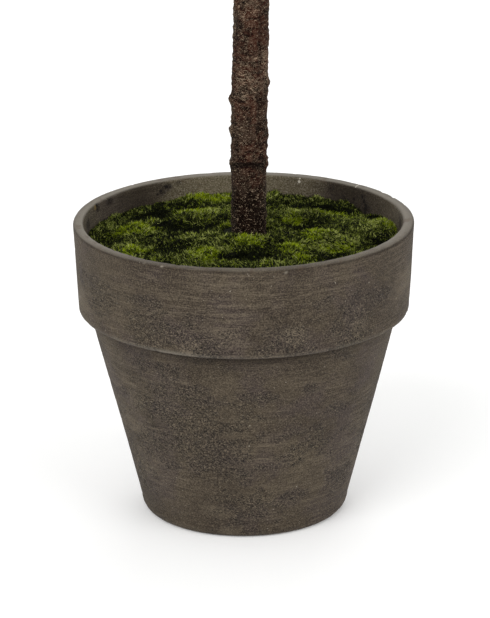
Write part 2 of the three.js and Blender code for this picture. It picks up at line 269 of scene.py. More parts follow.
def potProfile():  # radius and height of the points from the underside's middle, round to the floor's
    underside, bandFoot, top = pot["undersideRadius"], pot["bandFoot"], pot["height"]
    step, hidden = pot["step"], pot["hiddenStep"]
    foot = [(underside + (pot["footRadius"] - underside) * math.sin(a),
             pot["footHeight"] * (1 - math.cos(a)))
            for a in (i / 6 * turn / 4 for i in range(6))]
    underNeck = (pot["neckRadius"], bandFoot - 1 * mm)
    neck = (pot["neckRadius"] + 0.6 * mm, bandFoot)
    corner = (pot["bandFootRadius"] - pot["bandCorner"], bandFoot + pot["bandCorner"])
    lipOut, lipIn = pot["radius"] - pot["lipCorner"], pot["innerRadius"] + pot["lipCorner"]
    lipZ = top - pot["lipCorner"]
    bandInner = pot["innerRadius"] - pot["draft"]
    shoulder = (pot["neckRadius"] - pot["wall"] - pot["draft"], bandFoot - pot["shoulderDrop"])
    inLip = (pot["innerRadius"], lipZ)
    rise = (pot["mossLine"] - bandFoot) / (lipZ - bandFoot)
    mossEdge = (bandInner + (inLip[0] - bandInner) * rise, pot["mossLine"])
    floorEdge, floorMiddle = (pot["footRadius"] - pot["wall"], pot["floor"]), (pot["centre"], pot["floor"])
    return (
        evenly((pot["centre"], 0), (underside, 0), hidden)
        + foot
        + evenly((pot["footRadius"], pot["footHeight"]), underNeck, step)
        + evenly(underNeck, neck, 0.5 * mm)
        + evenly(neck, (corner[0], bandFoot), 1 * mm)
        + roundCorner(corner, pot["bandCorner"], -turn / 4, 4)
        + evenly((pot["bandFootRadius"], corner[1]), (pot["radius"], lipZ), step)
        + roundCorner((lipOut, lipZ), pot["lipCorner"], 0, 6)
        + evenly((lipOut, top), (lipIn, top), 0.8 * mm)
        + roundCorner((lipIn, lipZ), pot["lipCorner"], turn / 4, 6)
        + evenly(inLip, mossEdge, step)
        + evenly(mossEdge, (bandInner, bandFoot), hidden)
        + evenly((bandInner, bandFoot), shoulder, hidden)
        + evenly(shoulder, floorEdge, hidden)
        + evenly(floorEdge, floorMiddle, hidden)
        + [floorMiddle]
    )


# zones where the wash has crazed instead of taking the brush, written in the same way
potCrazed = [
    (-27, 84, 40), (-12, 62, 30), (-34, 150, 22), (-14, 146, 24), (16, 148, 18), (38, 152, 22),
    (34, 66, 16), (-46, 60, 18), (0, 24, 20), (96, 70, 38), (150, 110, 34), (196, 60, 40),
    (246, 92, 36), (286, 40, 26), (118, 160, 24), (176, 158, 22), (232, 152, 26), (300, 160, 18),
]
# stains and drips on the inside of the rim: angle from the front in degrees, height and radius in mm
potInnerStains = [
    (-111, 193, 3.2), (-112, 190, 2.2), (-121, 190, 4.6), (-151, 189.5, 4.2), (-148, 186.5, 3.2),
    (-155, 191.5, 2.8), (129, 190, 3.2), (128.5, 186, 3.8), (127.5, 182, 4.2), (133, 188, 3.0),
    (134, 183, 4.4), (138, 185, 3.6), (145, 190, 3), (-100, 186, 5),
    (96, 187, 5), (-60, 184, 6), (30, 186, 5), (70, 183, 5),
]
# small pale chips: angle from the front, height and radius in mm
potFlecks = [
    (-34, 194.4, 1.1), (-27.5, 194.3, 1.2), (-31, 194.4, 0.7), (-24, 3, 2.0), (14, 192.8, 0.9),
    (-78, 150, 1.2), (210, 120, 1.8), (255, 193, 2.0),
]
# tiny marks on the rim: angle from the front, mm from the axis, height and radius in mm, colour
potMarks = [
    (158.4, 102.7, 191.2, 1.25, "chip"), (158.2, 102.8, 193.4, 0.75, "chip"),
    (133.6, 103.3, 194.6, 0.8, "chip"), (133.7, 104.4, 195, 0.7, "chip"), (133.8, 105.5, 195, 0.75, "chip"),
    (134, 106.6, 195, 0.7, "chip"), (134.2, 107.7, 195, 0.75, "chip"), (134.3, 108.8, 194.7, 0.7, "chip"),
    (-109.5, 102.7, 192.4, 2.2, "ochre"), (-111, 102.7, 193, 1.5, "pit"), (-111, 102.6, 190.8, 1.2, "pit"),
    (-150, 102.6, 190.2, 1.6, "pit"), (-147.5, 102.5, 188, 1.5, "pit"), (-146, 102.4, 186, 1.3, "pit"),
    (129.5, 102.5, 189, 1.4, "pit"), (128.5, 102.4, 186.5, 1.8, "pit"), (127.5, 102.3, 184, 2.0, "pit"),
    (127.5, 102.2, 181.5, 2.0, "pit"), (127.8, 102.1, 179, 1.8, "pit"), (134, 102.4, 186, 1.6, "pit"),
]
# broad darker places, partly painted shade beneath the band, and paler places, partly painted light along
# the left side
potDarker = [
    (2, 124, 17), (-19, 120, 13), (27, 120, 17), (42, 124, 14), (10, 84, 20), (7, 104, 14),
    (29, 12, 20), (10, 7, 17), (52, 10, 19), (-33, 56, 8), (9, 48, 10), (34, 41, 8), (27, 182, 12),
    (53, 185, 13), (4, 192, 9), (120, 124, 18), (170, 122, 16), (215, 90, 22), (240, 14, 18),
    (280, 120, 16), (150, 12, 16), (200, 180, 12),
]
# the paler ones, partly painted light along the left side
potPaler = [
    (-14, 20, 10), (-9, 4, 6), (-60, 42, 17), (-58, 72, 17), (-52, 90, 9), (42, 148, 10), (16, 150, 9),
    (-6, 154, 8), (-17, 140, 9), (68, 162, 17), (110, 60, 20), (185, 70, 18), (255, 60, 20), (140, 150, 12),
    (285, 150, 14),
]


def outerWall(height):
    return np.interp(height, (0, pot["bandFoot"], pot["bandFoot"] + mm, pot["height"]),
                     (pot["footRadius"], pot["neckRadius"], pot["bandFootRadius"], pot["radius"]))


def onWall(degrees, radius, height):  # the point at an angle from the front, height in mm
    angle = math.radians(degrees)
    return np.array([radius * math.sin(angle), -radius * math.cos(angle), height * mm])


def potPatches(points, places, seed, raggedness, wallAt=outerWall, shape=(0.8, 0.8, 1.35), fade=(0.1, 1.25)):
    stain = np.zeros(len(points))
    ragged = layered(points * (90, 90, 170), 3, seed, 0.6) * raggedness
    for degrees, height, radius in places:
        centre = onWall(degrees, wallAt(height * mm), height)
        away = np.linalg.norm((points - centre) * shape, axis=1) / (radius * mm)
        stain = np.maximum(stain, 1 - softStep(*fade, away + ragged))
    return stain


def potBody():  # the turned surface: its points, the way each one faces, and how many rings it has
    profile = np.array(potProfile())
    along = unit(np.gradient(profile, axis=0))
    outward = np.stack([along[:, 1], -along[:, 0]], 1)
    angle = np.arange(pot["sides"]) / pot["sides"] * turn
    spin = np.stack([np.cos(angle), np.sin(angle)], 1)

    def spun(pairs):
        flat = (pairs[:, None, :1] * spin).reshape(-1, 2)
        return np.concatenate([flat, np.repeat(pairs[:, 1], pot["sides"])[:, None]], 1)
    return spun(profile), spun(outward), len(profile)


def potEdges(points, radius, z, fromBandFoot):  # worn edges, pale lip, painted shadow line under it, chips and flecks
    edge = np.maximum(1 - softStep(0, pot["bandFootWear"], fromBandFoot),
                      1 - softStep(0.5 * mm, pot["lipWear"], pot["height"] - z))
    # the lip is palest along its inner edge, and less so in front
    acrossLip = softStep(pot["radius"] - 0.5 * mm, pot["innerRadius"] + 0.5 * mm, radius)
    front = 1 - softStep(-104 * mm, -45 * mm, points[:, 1])
    lip = softStep(1.5 * mm, 0.3 * mm, pot["height"] - z) * (0.62 + 0.38 * acrossLip) * (1 - 0.62 * front)
    # a painted shadow line along the lip's outer corner
    rimLine = hump(z, pot["rimLine"], pot["rimLineWidth"]) * (radius > pot["radius"] - 1.4 * mm)
    rimLine *= 0.65 + 0.35 * smoothNoise(points / (14 * mm), 57)
    fleck = potPatches(points, potFlecks, 0, 0, shape=1, fade=(0.4, 1))
    chips = softStep(0.5, 0.95, layered(points / (5 * mm), 3, 7)) * edge
    return {"edge": edge, "lip": lip, "chips": chips, "fleck": fleck}, rimLine


def potBandFoot(points, radius, z, fromBandFoot):  # painted shade below the band, and a painted highlight line on its edge
    fromFront = np.degrees(np.arctan2(points[:, 0], -points[:, 1]))
    # painted shade that fades downward from the band's foot
    under = (1 - softStep(0, pot["underBand"], pot["bandFoot"] - z)) * (z < pot["bandFoot"] + 0.5 * mm)
    under *= (0.5 + 0.6 * hump(fromFront, *pot["underFront"])
              + 0.25 * smoothNoise(points / (8 * mm), 59))
    # a painted highlight along the band's lower edge
    rubbed = hump(fromBandFoot, 0, pot["rubbedWidth"]) * (0.25 + 0.75 * hump(fromFront, *pot["rubbed"]))
    return under * (radius > 90 * mm), rubbed


def makePot(material):
    points, normal, rings = potBody()
    radius, z = np.hypot(points[:, 0], points[:, 1]), points[:, 2]
    fromBandFoot = np.hypot(radius - pot["bandFootRadius"], z - pot["bandFoot"] - mm)
    values, rimLine = potEdges(points, radius, z, fromBandFoot)
    onInside = softStep(-1.2 * mm, 0, pot["innerRadius"] - radius)
    onInside *= z > pot["bandFoot"] + pot["insideAbove"]
    innerStain = potPatches(points, potInnerStains, 48, 0.45, lambda height: pot["innerRadius"])
    values["stain"] = potPatches(points, potStains, 40, 0.62) * (1 - onInside) + innerStain * onInside
    values["crazed"] = potPatches(points, potCrazed, 44, 0.8)
    values["darker"] = potPatches(points, potDarker, 63, 0.45) * (1 - onInside)
    values["paler"] = potPatches(points, potPaler, 66, 0.45) * (1 - onInside)

    wobble = layered(points / (55 * mm), 2, 3) * pot["wobble"]
    dents = np.minimum(layered(points * (160, 160, 420), 3, 21), 0) * pot["dents"]
    worn = softStep(0.1, 0.9, layered(points / (4 * mm), 3, 31)) * values["stain"] * pot["dents"]
    lift = wobble + dents * 0.6 - worn - values["chips"] * pot["chipDepth"]
    lift[z < 0.5 * mm] = 0
    points = points + normal * lift[:, None]
    points[:, 2] = np.maximum(points[:, 2], 0)

    under, values["rubbed"] = potBandFoot(points, radius, z, fromBandFoot)
    # inside the rim: a tint with painted light at the back, then a painted shadow, and painted light again
    # on both sides, with stains
    fromBack = np.degrees(np.abs(np.arctan2(points[:, 0], points[:, 1])))
    fromBack += 3 * smoothNoise(points / (9 * mm), 53)
    values["inside"] = onInside * (0.12 + 0.88 * softStep(*pot["paleBack"], fromBack)
                                   + 0.3 * softStep(*pot["paleSides"], fromBack))
    shadow = onInside * np.maximum(0.8 * hump(fromBack, *pot["insideShadow"]), 0.95 * innerStain)
    # painted shade below the band, along the rim line and inside the rim, together with the stains inside
    # the rim
    values["grime"] = np.maximum.reduce([under, rimLine, shadow])
    made = piece("clayPot", points, ringFaces(rings, pot["sides"]), material, values=values)
    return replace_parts(made, "pot")


potFinish = {
    "wash": srgb(75, 66, 54), "shade": srgb(55, 47, 39), "tan": srgb(112, 101, 85),
    "violet": srgb(64, 55, 53), "pit": srgb(26, 21, 18), "chalk": srgb(150, 142, 128),
    "worn": srgb(90, 85, 75), "grime": srgb(38, 31, 24), "rust": srgb(80, 60, 46),
    "inside": srgb(122, 113, 88), "lip": srgb(130, 124, 114),
    "chip": srgb(205, 198, 184), "ochre": srgb(120, 100, 58),
}
fillingFinish = {"dark": srgb(52, 45, 38), "pale": srgb(84, 76, 66)}


def clayMaterial():
    look = Finish("brushedClayWash", Specular_IOR_Level=0.12, Sheen_Weight=0.035, Sheen_Roughness=0.3)
    place = look.place()
    stain, chips, edge = look.painted("stain"), look.painted("chips"), look.painted("edge")
    crazed = look.painted("crazed")
    broad = place.noise(17, 3, 0.55)
    hue = place.noise(27, 3, 0.6, 0.4)
    brushed = place.noise(23, 2, 0.5).step(0.4, 0.62) * (1 - crazed * 0.6)
    strokes = place.stretched(30, 30, 520).noise(1, 4, 0.62, 0.3)
    hairs = place.stretched(90, 90, 1500).noise(1, 2, 0.6)
    grain = place.stretched(1, 1, 1.25).noise(1050, 3, 0.75)
    inside = look.painted("inside")
    worms = place.stretched(1, 1, 1.3).noise(175, 2, 0.6, 1.8)
    # a crazed film: thin winding lines where two sides of the noise meet, each with a light rim
    line = 1 - worms.distance(0.5).step(0.003, 0.02)
    rim = 1 - worms.distance(0.528).step(0.004, 0.022)
    film = (crazed.step(0.0, 1.0) * (0.5 + broad * 0.9)).most(stain.step(0.1, 0.9) * 0.8)
    pits = place.noise(640, 2, 0.55).step(0.61, 0.7)

    colour = mixed(broad.step(0.35, 0.65), potFinish["shade"], potFinish["wash"])
    colour = covered(colour, potFinish, (
        (hue.step(0.46, 0.66) * 0.8, "violet"),
        # a paler tint inside the rim, and painted light at its back and sides
        (inside * (0.35 + broad * 0.4), "inside"),
        (strokes.step(0.46, 0.7) * (0.1 + brushed * 0.32), "tan"),
        (hairs.step(0.48, 0.7) * (0.16 + brushed * 0.3), "tan"),
        (hairs.step(0.5, 0.32) * (0.16 + brushed * 0.24), "shade"),
        ((1 - strokes.step(0.3, 0.46)) * 0.35, "shade"),
        (stain * 0.42, "violet"),
        # lighter patches of wash, with painted light on the left side
        (look.painted("paler") * (0.28 + strokes * 0.3), "tan"),
        # deeper patches of wash, with painted shade beneath the band
        (look.painted("darker") * (0.12 + broad * 0.24), "grime"),
        (stain.step(0.5, 1.0) * 0.12, "pit"),
        (film * rim * 0.62, "tan"),
        (film * line * 0.85, "pit"),
        (grain.step(0.5, 0.35) * (0.6 + film * 0.42), "pit"),
        (grain.step(0.5, 0.64) * (0.58 + film * 0.42), "tan"),
        (grain.step(0.53, 0.62) * inside * 0.5, "chalk"),
        (pits * (film * 0.5 + 0.2), "pit"),
        (place.noise(560, 1, 0.5).step(0.76, 0.8) * 0.7, "chalk"),
        (edge * broad.step(0.48, 0.6) * 0.4, "worn"),
        (look.painted("lip") * (0.75 + grain * 0.3), "lip"),
        (chips * 0.35, "rust"),
        # painted shade below the band, on the rim line and inside the rim, with the stains inside
        (look.painted("grime") * 0.75, "grime"),
        # painted highlight on the band's lower edge
        (look.painted("rubbed") * 0.55, "lip"),
        (look.painted("fleck") * 0.8, "chalk"),
    ))
    for degrees, radius, height, size, shade in potMarks:
        mark = place.near(onWall(degrees, radius * mm, height), size * mm)
        colour = mixed(mark * 0.85, colour, potFinish[shade])
    relief = (strokes * 0.4 + hairs * 0.3 + grain * 0.5
              - film * line * 1.2 + film * rim * 0.5 - pits * (0.3 + film * 0.9))
    return look.finished(colour, 0.72 + grain * 0.22 - strokes * 0.08, relief, 1 * mm)


def fillingMaterial():
    look = Finish("castFilling", Specular_IOR_Level=0.2)
    place = look.place()
    lumps = place.noise(120, 4, 0.6)
    colour = mixed(lumps.step(0.4, 0.62), fillingFinish["dark"], fillingFinish["pale"])
    return look.finished(colour, 0.85 + lumps * 0.1, lumps + place.noise(700, 2) * 0.3, 1.5 * mm)


makePot(clayMaterial())
nodes["pot_filling"].material_slots[0].material = fillingMaterial()
print("pot and filling finished")


# stem

stem = inMetres(
    x=3.6, footRadius=11.8, tipRadius=9.6, ground=168, foot=168.3, tip=760, crownBottom=622, bowX=3,
    bowY=2.2, step=1, rings=0.32, scales=0.42, wartHeight=0.6, ledge=230, ledgeHeight=0.8,
    ledgeStep=0.45, ledgeArch=4.8, fluteDepth=0.6, fluteFrom=236, fluteTo=262, knobHeight=3.6,
    mostRelief=2.6, sunkInCrown=1.4, darkTo=205, paleFrom=234)
stem.update(bowPower=3, sides=104, warts=260, wartSizes=(0.8, 1.8), ledgeTowards=-98,
            fluteTowards=302, fluteWidth=0.16, seed=11)
# knobs where side shoots were cut: mm above the ground, direction in degrees, mm high
stemKnobs = [
    (26, 120, 1.0), (62, 186, 1.1), (64, 4, 1.2), (86, 182, 1.3), (82, 0, 1.1), (106, 184, 1.7),
    (117, -4, 1.4), (172, 70, 1.6), (214, 250, 1.7), (262, 150, 1.6), (316, 20, 1.8), (368, 280, 1.5),
]


def stemCentre(z):
    share = np.clip((z - stem["foot"]) / (stem["crownBottom"] - stem["foot"]), 0, 1)
    fade = np.sin(share * math.pi)
    return (stem["x"] + stem["bowX"] * fade ** stem["bowPower"],
            stem["bowY"] * fade * np.sin(2 * share * math.pi))


def stemKnobRelief(z, angle):
    relief = np.zeros(len(z))
    for rise, degrees, high in stemKnobs:
        toward = np.maximum(0, np.cos(angle - math.radians(degrees)))
        relief += high * mm * toward ** 8 * hump(z, stem["ground"] + rise * mm, stem["knobHeight"])
    return relief


def stemWartRelief(z, angle):
    rng = np.random.default_rng(stem["seed"])
    wartZ = rng.uniform(stem["foot"], stem["crownBottom"], stem["warts"])
    wartAngle = rng.uniform(0, turn, stem["warts"])
    wartSize = rng.uniform(*stem["wartSizes"], stem["warts"]) * mm
    relief = np.zeros(len(z))
    for wartAt, wartTowards, size in zip(wartZ, wartAngle, wartSize):
        around = (np.mod(angle - wartTowards + math.pi, turn) - math.pi) * stem["footRadius"] * 0.6
        away = (z - wartAt) ** 2 + around ** 2
        relief += stem["wartHeight"] * size / (2 * mm) * np.exp(-away / size ** 2)
    return relief


def stemLedge(z, angle):  # an arched step in front, and the dark crease under it
    toward = np.cos(angle - math.radians(stem["ledgeTowards"]))
    front = softStep(0.1, 0.75, toward)
    above = z - stem["ledge"] - stem["ledgeArch"] * toward
    relief = front * stem["ledgeHeight"] * (hump(above, 1.6 * mm, 1.3 * mm) - hump(above, -1 * mm, 1 * mm))
    relief -= stem["ledgeStep"] * (1 - softStep(-1 * mm, 1 * mm, above))
    return relief, front * hump(above, -1.4 * mm, 2 * mm)


def makeStem(material):
    sides, foot, tip = stem["sides"], stem["foot"], stem["tip"]
    rings = round((tip - foot) / stem["step"]) + 1
    z = np.repeat(np.linspace(foot, tip, rings), sides)
    angle = np.tile(np.arange(sides) / sides * turn, rings)
    radius = stem["footRadius"] + (stem["tipRadius"] - stem["footRadius"]) * (z - foot) / (tip - foot)
    facing = np.stack([np.cos(angle), np.sin(angle)], 1)
    around = np.concatenate([facing * radius[:, None], z[:, None]], 1)

    ringRelief = layered(around * (120, 120, 330), 3, 5, 0.6)
    scaleRelief = layered(around * (360, 360, 620), 3, 9, 0.7)
    ledgeRelief, crease = stemLedge(z, angle)
    flute = hump(angle, math.radians(stem["fluteTowards"]), stem["fluteWidth"])
    flute *= softStep(stem["fluteFrom"], stem["fluteTo"], z)
    relief = (ringRelief * stem["rings"] + scaleRelief * stem["scales"] + stemKnobRelief(z, angle)
              + stemWartRelief(z, angle) + ledgeRelief - flute * stem["fluteDepth"])
    quiet = 1 - 0.75 * softStep(-10 * mm, 10 * mm, z - stem["crownBottom"])
    radius = np.minimum(radius + relief * quiet, stem["footRadius"] + stem["mostRelief"])
    inCrown = z > stem["crownBottom"]
    radius[inCrown] = np.minimum(radius[inCrown], stem["footRadius"] - stem["sunkInCrown"])

    centreX, centreY = stemCentre(z)
    points = np.stack([centreX + radius * facing[:, 0], centreY + radius * facing[:, 1], z], 1)
    faces = ringFaces(rings, sides)
    count = len(points)
    middle = np.array([[stem["x"], 0, foot], [stem["x"], 0, tip]])
    side = np.arange(sides)
    after = (side + 1) % sides
    last = count - sides
    caps = np.concatenate([np.stack([after, side, np.full_like(side, count)], 1),
                           np.stack([last + side, last + after, np.full_like(side, count + 1)], 1)])
    triangles = np.concatenate([faces[:, [0, 1, 2]], faces[:, [0, 2, 3]], caps])
    raised = softStep(-0.9, 1.1, scaleRelief + 0.4 * ringRelief) * (1 - crease)
    values = {"raised": np.append(raised, [0, 0]),
              "shade": np.append(np.maximum(crease, 0.6 * flute), [0, 0])}
    points = np.concatenate([points, middle])
    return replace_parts(piece("stemBark", points, triangles, material, values=values), "trunk")


# low is painted shade for the stem's foot inside the pot
stemFinish = {
    "bark": srgb(43, 29, 22), "red": srgb(57, 30, 21), "deep": srgb(7, 4, 3),
    "fleck": srgb(198, 174, 146), "ash": srgb(84, 68, 56), "low": srgb(12, 5, 2),
}


def barkMaterial():
    look = Finish("fleckedBark", Specular_IOR_Level=0.03, Sheen_Weight=0.012, Sheen_Roughness=0.3)
    place, raised = look.place(), look.painted("raised")
    patches = place.stretched(1, 1, 0.55).noise(95, 3, 0.6)
    rings = place.stretched(190, 190, 760).noise(1, 4, 0.7, 0.8)
    scales = place.stretched(1, 1, 2.1).noise(720, 3, 0.7, 1.3)
    clusters = place.stretched(1, 1, 0.7).noise(60, 2, 0.5)
    # painted shade: the stem darkens towards its foot, where the pot's rim and the moss shade it
    lower = 1 - place.height().step(stem["darkTo"], stem["paleFrom"])
    # thin wavy ridges in clusters
    waves = 1 - place.stretched(1, 1, 2.2).noise(230, 2, 0.6, 1.3).distance(0.5).step(0.003, 0.018)
    dashes = place.stretched(1, 1, 2.0).noise(700, 2, 0.6, 1.2).step(0.625, 0.66)
    colour = mixed(patches.step(0.42, 0.6), stemFinish["bark"], stemFinish["red"])
    colour = covered(colour, stemFinish, (
        (raised.step(0.45, 0.85) * 0.28, "ash"),
        (raised.step(0.5, 0.22) * 0.7, "deep"),
        (rings.step(0.47, 0.36) * 0.7, "deep"),
        (scales.step(0.58, 0.64) * (0.34 + clusters.step(0.42, 0.6) * 0.24), "fleck"),
        (scales.step(0.42, 0.32) * 0.7, "deep"),
        (waves * clusters.step(0.46, 0.64) * 0.85, "fleck"),
        # painted shade low on the stem
        (lower * 0.8, "low"),
        (dashes * (0.5 + lower * 0.22), "fleck"),
        (look.painted("shade") * (0.2 + patches * 0.8), "deep"),
    ))
    return look.finished(colour, 0.6 + scales * 0.3, rings * 0.7 + scales * 0.8, 0.9 * mm)


makeStem(barkMaterial())
print("stem finished")


# moss

moss = inMetres(
    radius=101, holeGap=0.4, atWall=181, atStem=186, tufts=1.5, grain=0.6, lowest=169.5,
    underside=168.4, length=2.5, width=0.42, sunk=0.6, slopeStep=0.8, innermost=13, reach=101.9,
    clearOfStem=0.2, combSize=9)
moss.update(seed=23, rise=0.8, rings=110, sides=330, shadeSpread=1.35, fibres=185000, outermost=0.997,
            combed=0.7, scatter=0.55, lengths=(0.5, 1.25), widths=(0.7, 1.2), bend=0.22,
            droop=0.12, toneScatter=0.36, lushScatter=0.32, roughness=0.8, shine=0.04,
            soil=srgb(8, 9, 4), mat=srgb(26, 30, 11))
# fibres from dark to pale, then Leafy for Mid in lush places, and Fresh for Bright and half of Pale
mossTints = {
    "Black": srgb(10, 12, 4), "Dark": srgb(34, 39, 17), "Mid": srgb(64, 71, 27),
    "Bright": srgb(109, 118, 50), "Pale": srgb(160, 167, 92), "Leafy": srgb(80, 92, 8),
    "Fresh": srgb(132, 148, 22),
}
mossTintBounds = (0.22, 0.48, 0.76, 1.1)
# folds of the mat: middle x, y, heading in degrees, half length, half width, height, in mm
mossFolds = [
    (-34, 29, 16, 20, 11, -5.4), (-49, -15, 6, 13, 10, -5.0), (37, 25, -14, 14, 10, -5.2),
    (58, -25, -10, 13, 11, -5.2), (88, -1, 60, 13, 9, -5.0), (-86, 3, 80, 9, 7, -4.2),
    (17, -20, -10, 12, 10, -4.4), (-14, -34, 0, 8, 8, -3.2), (42, -37, 0, 8, 7, -2.6),
    (-32, 3, 8, 12, 6, -2.0), (-27, 70, 4, 22, 9, -2.2), (31, 75, 0, 18, 10, -1.6),
    (82, 59, 50, 8, 6, -5.0), (-66, 55, 40, 10, 8, -1.6), (28, -3, 0, 8, 7, -1.8),
    (-10, -76, -4, 26, 7, -2.6), (-62, -54, 38, 14, 7, -2.8), (-33, 94, -18, 16, 8, 2.6),
    (24, 97, 0, 12, 7, 1.2), (61, 78, -45, 20, 10, 2.4), (-30, 46, 2, 24, 6, 3.2),
    (-69, 16, 70, 18, 8, 2.6), (-78, -24, -30, 12, 6, 2.2), (5, -13, 0, 14, 6, 2.2),
    (-24, -44, 56, 16, 6, 2.8), (30, -29, -36, 9, 5, 2.6), (56, -8, -22, 18, 6, 3.6),
    (91, 20, 70, 10, 8, 4.0), (22, 15, -62, 15, 4, 2.6), (36, 45, -4, 14, 6, 2.8),
    (68, 26, -20, 15, 8, 2.4), (-32, -8, 12, 17, 5, 2.4), (66, -16, -32, 9, 4, 2.2),
    (-46, -40, 24, 18, 6, 2.4), (20, -64, -6, 30, 8, 2.4),
]
# places painted darker, partly painted shade in the hollows, and paler ones below 0: middle x, y, heading,
# half length, half width in mm, share
mossTones = [
    (-58, 49, 6, 13, 9, 0.8), (-68, 40, 20, 7, 7, 0.56), (-50, 26, 0, 6, 9, 0.64), (-41, 15, 4, 13, 7, 0.8),
    (-22, 19, 0, 9, 7, 0.32), (52, 64, -8, 11, 9, 0.8), (65, 53, -20, 9, 9, 0.72),
    (-25, 64, 0, 17, 7, 0.48), (38, 67, 0, 6, 7, 0.48), (37, 17, -6, 12, 9, 0.72), (51, 28, 0, 6, 7, 0.24),
    (-87, -12, 20, 6, 9, 0.48), (-79, -10, 10, 5, 6, 0.24), (-48, -30, 8, 9, 11, 0.8),
    (-39, -20, 10, 8, 9, 0.48), (-59, -36, 0, 4, 6, 0.16), (2, -48, 0, 19, 11, 0.8),
    (16, -28, -8, 9, 9, 0.48), (-12, -46, 0, 6, 9, 0.24), (51, -51, -4, 10, 7, 0.56),
    (57, -39, -6, 9, 7, 0.4), (66, -37, 0, 6, 7, 0.24), (89, -10, 30, 11, 11, 0.72), (66, 6, 0, 7, 7, 0.24),
    (-27, 41, 4, 13, 7, -0.45), (33, 40, -6, 9, 7, -0.45), (55, -20, -8, 16, 9, -0.5),
    (13, -12, 0, 9, 7, -0.4), (92, 23, 0, 9, 9, -0.35), (36, -9, 0, 7, 9, 0.32), (46, 13, 0, 6, 7, 0.32),
    (87, 38, 0, 6, 9, 0.48), (-34, 2, 4, 16, 7, 0.32), (-75, 20, 10, 11, 11, 0.24),
    (-12, -50, 0, 6, 7, 0.24), (-32, 62, 0, 14, 7, 0.16), (70, 21, 0, 9, 9, 0.16),
    (-44, 38, 0, 34, 30, 0.08), (40, 45, 0, 34, 30, 0.05), (12, 70, 0, 12, 8, 0.3),
    (-43, 74, 4, 16, 7, 0.5), (63, 76, -10, 8, 9, 0.45), (23, 79, 0, 10, 7, 0.4), (-55, 65, 8, 10, 7, 0.3),
    (44, 46, 0, 7, 7, -0.25), (-64, -26, 20, 10, 7, -0.2), (-14, -29, 0, 7, 7, -0.15),
]
# places with fresh yellow-green fibres, written in the same way
mossLush = [
    (-35, 55, 4, 14, 13, 1), (-72, 14, 10, 14, 13, 1), (-70, -32, 20, 11, 9, 1), (-24, -45, 8, 11, 11, 1),
    (5, -19, 0, 11, 9, 1), (28, -30, -10, 11, 11, 1), (39, -51, -6, 10, 7, 1), (59, 48, -14, 13, 9, 1),
    (31, 33, 0, 9, 9, 1), (94, 23, 0, 9, 9, 1), (47, -5, -10, 10, 9, 1), (-16, 90, 0, 21, 10, 1.2),
    (-2, 14, 90, 5, 15, 1), (62, -22, -6, 11, 7, 1),
]


def mossBase(x, y):
    away = np.hypot(x - stem["x"], y) - stem["footRadius"]
    share = np.clip(away / (moss["radius"] - stem["footRadius"]), 0, 1)
    return moss["atStem"] + (moss["atWall"] - moss["atStem"]) * share ** moss["rise"]


def mossRidges(x, y, places, unitSize, spread=1.0, crisp=1.0):  # the spread widens the hollows
    total = np.zeros(len(x))
    for middleX, middleY, degrees, long, wide, high in places:
        heading = math.radians(degrees)
        dx, dy = x - middleX * mm, y - middleY * mm
        along = dx * math.cos(heading) + dy * math.sin(heading)
        across = dy * math.cos(heading) - dx * math.sin(heading)
        wide *= spread if high < 0 else 1
        away = (along / (long * mm)) ** 2 + (across / (wide * mm)) ** 2
        total += high * unitSize * np.exp(-away ** crisp)
    return total


def mossFolding(x, y, spread=1.0):
    return mossRidges(x, y, mossFolds, mm, spread)


def mossSurface(x, y):
    flat = np.stack([x, y, np.zeros(len(x))], 1)
    fold = mossFolding(x, y)
    tufts = layered(flat / (7 * mm), 3, 61, 0.6) * moss["tufts"]
    grain = smoothNoise(flat / (1.6 * mm), 71) * moss["grain"]
    return np.maximum(mossBase(x, y) + fold + tufts + grain, moss["lowest"]), fold


def makeMossMat(material, hole):
    rings, sides = moss["rings"], moss["sides"]
    share = np.repeat(np.linspace(0, 1, rings) ** 0.85, sides)
    angle = np.tile(np.arange(sides) / sides * turn, rings)
    radius = hole + (moss["radius"] - hole) * share
    x = stem["x"] * (1 - share) + radius * np.cos(angle)
    y = radius * np.sin(angle)
    z, fold = mossSurface(x, y)
    top = np.stack([x, y, z], 1)
    ends = [top[:sides].copy(), top[-sides:].copy()]
    for end in ends:
        end[:, 2] = moss["underside"]
    points = np.concatenate([ends[0], top, ends[1], ends[0]])
    lift = np.concatenate([np.zeros(sides), softStep(-3 * mm, 3 * mm, fold), np.zeros(2 * sides)])
    made = piece("mossMat", points, ringFaces(rings + 3, sides)[:, ::-1], material,
                 values={"lift": lift})
    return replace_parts(made, "moss")


def mossShade(x, y, flat, comb, lushness, rng):  # 0 for the darkest fibres, above 1 for the palest
    # strands: the tone runs on along the way that the fibres are combed
    strand = sum(layered((flat + unit(comb) * step * mm) / (0.9 * mm), 2, 95)
                 for step in (-1.2, -0.6, 0, 0.6, 1.2))
    # painted shade in the hollows of the folds and in the darker tone places, and painted light on the
    # ridges
    shade = (0.5 + 0.06 * mossFolding(x, y, moss["shadeSpread"]) / mm
             + 0.05 * layered(flat / (7 * mm), 3, 61, 0.6) + 0.16 * layered(flat / (12 * mm), 2, 91)
             + 0.15 * strand + 0.22 * layered(flat / (1.1 * mm), 2, 97)
             + rng.normal(0, moss["toneScatter"], len(x))
             + 0.26 * softStep(0.2, 0.8, lushness) - mossRidges(x, y, mossTones, 1, crisp=1.7))
    return shade, strand


